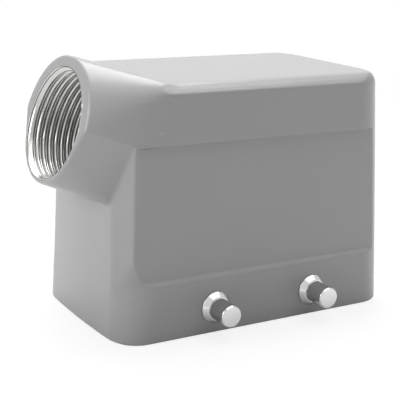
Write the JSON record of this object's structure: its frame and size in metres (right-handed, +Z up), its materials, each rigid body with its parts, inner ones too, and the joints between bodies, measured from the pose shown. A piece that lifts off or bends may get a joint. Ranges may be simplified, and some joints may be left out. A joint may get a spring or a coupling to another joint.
{
  "type": "heavy duty rectangular connector",
  "caption": "Rectangular connector hood with an angled threaded cable entry and locking pegs, holding a pin insert with screw terminals.",
  "frame": {"origin": "centre of the hood's rim, in the plane of the rim", "axes": "+X along the hood, away from the cable entry; +Y across it; +Z up from the rim to the flat top"},
  "size_m": [0.0826, 0.0564, 0.0599],
  "materials": {
    "hood": "grey powder coat with a fine orange peel on die-cast aluminium",
    "peg": "bright turned and plated steel",
    "carrier": "moulded glass-filled plastic, light grey",
    "contact": "turned copper alloy with silver plating",
    "earth": "stamped steel, zinc plated",
    "screw": "zinc plated steel",
    "washer": "spring steel"
  },
  "bodies": {
    "hood": {"hood_shell": "hood", "insert_carrier": "carrier", "locking_peg_1": "peg", "locking_peg_2": "peg", "locking_peg_3": "peg", "locking_peg_4": "peg", "pin_contact_1": "contact", "pin_contact_2": "contact", "pin_contact_3": "contact", "pin_contact_4": "contact", "pin_contact_5": "contact", "pin_contact_6": "contact", "pin_contact_7": "contact", "pin_contact_8": "contact", "pin_contact_9": "contact", "pin_contact_10": "contact", "earth_terminal_1": "earth", "earth_terminal_2": "earth", "lock_washer_1": "washer", "lock_washer_2": "washer", "lock_washer_3": "washer", "lock_washer_4": "washer"},
    "fixing_screw_1": {"fixing_screw_1": "screw"},
    "fixing_screw_2": {"fixing_screw_2": "screw"},
    "fixing_screw_3": {"fixing_screw_3": "screw"},
    "fixing_screw_4": {"fixing_screw_4": "screw"},
    "terminal_screw_1": {"terminal_screw_1": "screw"},
    "terminal_screw_2": {"terminal_screw_2": "screw"},
    "terminal_screw_3": {"terminal_screw_3": "screw"},
    "terminal_screw_4": {"terminal_screw_4": "screw"},
    "terminal_screw_5": {"terminal_screw_5": "screw"},
    "terminal_screw_6": {"terminal_screw_6": "screw"},
    "terminal_screw_7": {"terminal_screw_7": "screw"},
    "terminal_screw_8": {"terminal_screw_8": "screw"},
    "terminal_screw_9": {"terminal_screw_9": "screw"},
    "terminal_screw_10": {"terminal_screw_10": "screw"},
    "earth_screw_1": {"earth_screw_1": "screw"},
    "earth_screw_2": {"earth_screw_2": "screw"}
  },
  "joints": [
    {"name": "fixing_screw_1_turn", "type": "hinge", "parent": "hood", "child": "fixing_screw_1", "pos_m": [-0.0285, -0.0135, 0.0062], "axis": [0, 0, -1], "range_deg": [0, 4320]},
    {"name": "fixing_screw_2_turn", "type": "hinge", "parent": "hood", "child": "fixing_screw_2", "pos_m": [0.0285, -0.0135, 0.0062], "axis": [0, 0, -1], "range_deg": [0, 4320]},
    {"name": "fixing_screw_3_turn", "type": "hinge", "parent": "hood", "child": "fixing_screw_3", "pos_m": [-0.0285, 0.0135, 0.0062], "axis": [0, 0, -1], "range_deg": [0, 4320]},
    {"name": "fixing_screw_4_turn", "type": "hinge", "parent": "hood", "child": "fixing_screw_4", "pos_m": [0.0285, 0.0135, 0.0062], "axis": [0, 0, -1], "range_deg": [0, 4320]},
    {"name": "terminal_screw_1_turn", "type": "hinge", "parent": "hood", "child": "terminal_screw_1", "pos_m": [-0.0164, -0.0118, 0.019], "axis": [0, -1, 0], "range_deg": [-720, 720]},
    {"name": "terminal_screw_2_turn", "type": "hinge", "parent": "hood", "child": "terminal_screw_2", "pos_m": [-0.0164, 0.0118, 0.019], "axis": [0, 1, 0], "range_deg": [-720, 720]},
    {"name": "terminal_screw_3_turn", "type": "hinge", "parent": "hood", "child": "terminal_screw_3", "pos_m": [-0.0082, -0.0118, 0.019], "axis": [0, -1, 0], "range_deg": [-720, 720]},
    {"name": "terminal_screw_4_turn", "type": "hinge", "parent": "hood", "child": "terminal_screw_4", "pos_m": [-0.0082, 0.0118, 0.019], "axis": [0, 1, 0], "range_deg": [-720, 720]},
    {"name": "terminal_screw_5_turn", "type": "hinge", "parent": "hood", "child": "terminal_screw_5", "pos_m": [0, -0.0118, 0.019], "axis": [0, -1, 0], "range_deg": [-720, 720]},
    {"name": "terminal_screw_6_turn", "type": "hinge", "parent": "hood", "child": "terminal_screw_6", "pos_m": [0, 0.0118, 0.019], "axis": [0, 1, 0], "range_deg": [-720, 720]},
    {"name": "terminal_screw_7_turn", "type": "hinge", "parent": "hood", "child": "terminal_screw_7", "pos_m": [0.0082, -0.0118, 0.019], "axis": [0, -1, 0], "range_deg": [-720, 720]},
    {"name": "terminal_screw_8_turn", "type": "hinge", "parent": "hood", "child": "terminal_screw_8", "pos_m": [0.0082, 0.0118, 0.019], "axis": [0, 1, 0], "range_deg": [-720, 720]},
    {"name": "terminal_screw_9_turn", "type": "hinge", "parent": "hood", "child": "terminal_screw_9", "pos_m": [0.0164, -0.0118, 0.019], "axis": [0, -1, 0], "range_deg": [-720, 720]},
    {"name": "terminal_screw_10_turn", "type": "hinge", "parent": "hood", "child": "terminal_screw_10", "pos_m": [0.0164, 0.0118, 0.019], "axis": [0, 1, 0], "range_deg": [-720, 720]},
    {"name": "earth_screw_1_turn", "type": "hinge", "parent": "hood", "child": "earth_screw_1", "pos_m": [-0.0298, 0, 0.015], "axis": [-1, 0, 0], "range_deg": [-150, 720]},
    {"name": "earth_screw_2_turn", "type": "hinge", "parent": "hood", "child": "earth_screw_2", "pos_m": [0.0298, 0, 0.015], "axis": [1, 0, 0], "range_deg": [-150, 720]}
  ]
}
